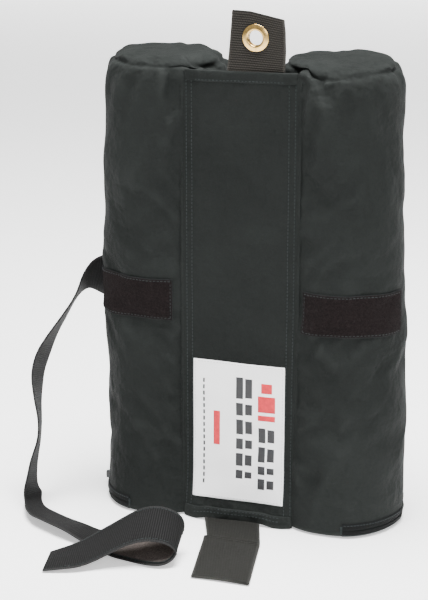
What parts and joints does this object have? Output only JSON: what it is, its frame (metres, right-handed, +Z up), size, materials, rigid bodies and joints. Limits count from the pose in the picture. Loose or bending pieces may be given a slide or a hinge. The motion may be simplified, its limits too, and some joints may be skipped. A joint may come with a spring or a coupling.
{
  "type": "sandbag",
  "caption": "Twin-tube fabric weight bag: two upright sand-filled tubes joined by a flat front panel, with webbing tabs, a brass eyelet, zipped feet and a hook-and-loop strap.",
  "frame": {"origin": "on the floor, midway between the two tube axes, in the channel that takes the leg", "axes": "+Z up along the tubes, +X to the bag's right, the front with the panel and label faces -Y"},
  "size_m": [0.3455, 0.2703, 0.4643],
  "materials": {
    "canvas": "matte",
    "webbing": "matte",
    "loop_pile": "matte",
    "hook_pile": "matte",
    "zip_tape": "matte",
    "zip_coil": "matte",
    "zip_metal": "satin",
    "label": "matte",
    "grommet": "polished",
    "sand": "matte"
  },
  "bodies": {
    "panel": {"panel_back_cloth": "canvas", "panel_front_cloth": "canvas", "panel_top_hem": "canvas", "panel_bottom_hem": "canvas", "label_patch": "label"},
    "top_tab": {"top_tab_webbing": "webbing", "grommet_eyelet": "grommet", "grommet_washer": "grommet"},
    "bottom_tab": {"bottom_tab_webbing": "webbing"},
    "left_tube": {"left_tube_wall": "canvas", "left_top_cap": "canvas", "left_bottom_cap": "canvas", "left_sand_fill": "sand", "left_zip_lower_tape": "zip_tape", "left_zip_upper_tape": "zip_tape", "left_zip_coil": "zip_coil", "left_zip_front_stop": "zip_metal", "left_zip_back_stop": "zip_metal", "left_loop_strip": "loop_pile", "strap_anchor": "webbing"},
    "left_zip_slider": {"left_zip_slider": "zip_metal"},
    "left_zip_pull": {"left_zip_pull": "zip_metal"},
    "right_tube": {"right_tube_wall": "canvas", "right_top_cap": "canvas", "right_bottom_cap": "canvas", "right_sand_fill": "sand", "right_zip_lower_tape": "zip_tape", "right_zip_upper_tape": "zip_tape", "right_zip_coil": "zip_coil", "right_zip_front_stop": "zip_metal", "right_zip_back_stop": "zip_metal", "right_loop_strip": "loop_pile"},
    "right_zip_slider": {"right_zip_slider": "zip_metal"},
    "right_zip_pull": {"right_zip_pull": "zip_metal"},
    "strap": {"closure_strap": "webbing", "strap_hook_tape": "hook_pile"}
  },
  "joints": [
    {"name": "left_tube_fold", "type": "hinge", "parent": "panel", "child": "left_tube", "pos_m": [-0.0531, -0.0484, 0], "axis": [0, 0, 1], "range_deg": [-24, 70]},
    {"name": "right_tube_fold", "type": "hinge", "parent": "panel", "child": "right_tube", "pos_m": [0.0531, -0.0484, 0], "axis": [0, 0, -1], "range_deg": [-24, 70]},
    {"name": "top_tab_flex", "type": "hinge", "parent": "panel", "child": "top_tab", "pos_m": [0.0159, -0.0488, 0.4139], "axis": [1, 0, 0], "range_deg": [-50, 75], "stiffness_Nm_per_rad": 0.05},
    {"name": "bottom_tab_flex", "type": "hinge", "parent": "panel", "child": "bottom_tab", "pos_m": [0, -0.0522, 0.0013], "axis": [-1, 0, 0], "range_deg": [0, 75]},
    {"name": "left_slider_run", "type": "hinge", "parent": "left_tube", "child": "left_zip_slider", "pos_m": [-0.083, 0, 0], "axis": [0, 0, -1], "range_deg": [-67, 71]},
    {"name": "left_pull_swing", "type": "hinge", "parent": "left_zip_slider", "child": "left_zip_pull", "pos_m": [-0.14696, 0.0056, 0.008], "axis": [0, 0, 1], "range_deg": [0, 150]},
    {"name": "right_slider_run", "type": "hinge", "parent": "right_tube", "child": "right_zip_slider", "pos_m": [0.083, 0, 0], "axis": [0, 0, 1], "range_deg": [-102, 36]},
    {"name": "right_pull_swing", "type": "hinge", "parent": "right_zip_slider", "child": "right_zip_pull", "pos_m": [0.13218, 0.04127, 0.008], "axis": [0, 0, -1], "range_deg": [0, 150]},
    {"name": "strap_swing", "type": "hinge", "parent": "left_tube", "child": "strap", "pos_m": [-0.1405, -0.008, 0.21], "axis": [0, 0, -1], "range_deg": [0, 60], "deforming": ["closure_strap", "strap_hook_tape"]}
  ]
}
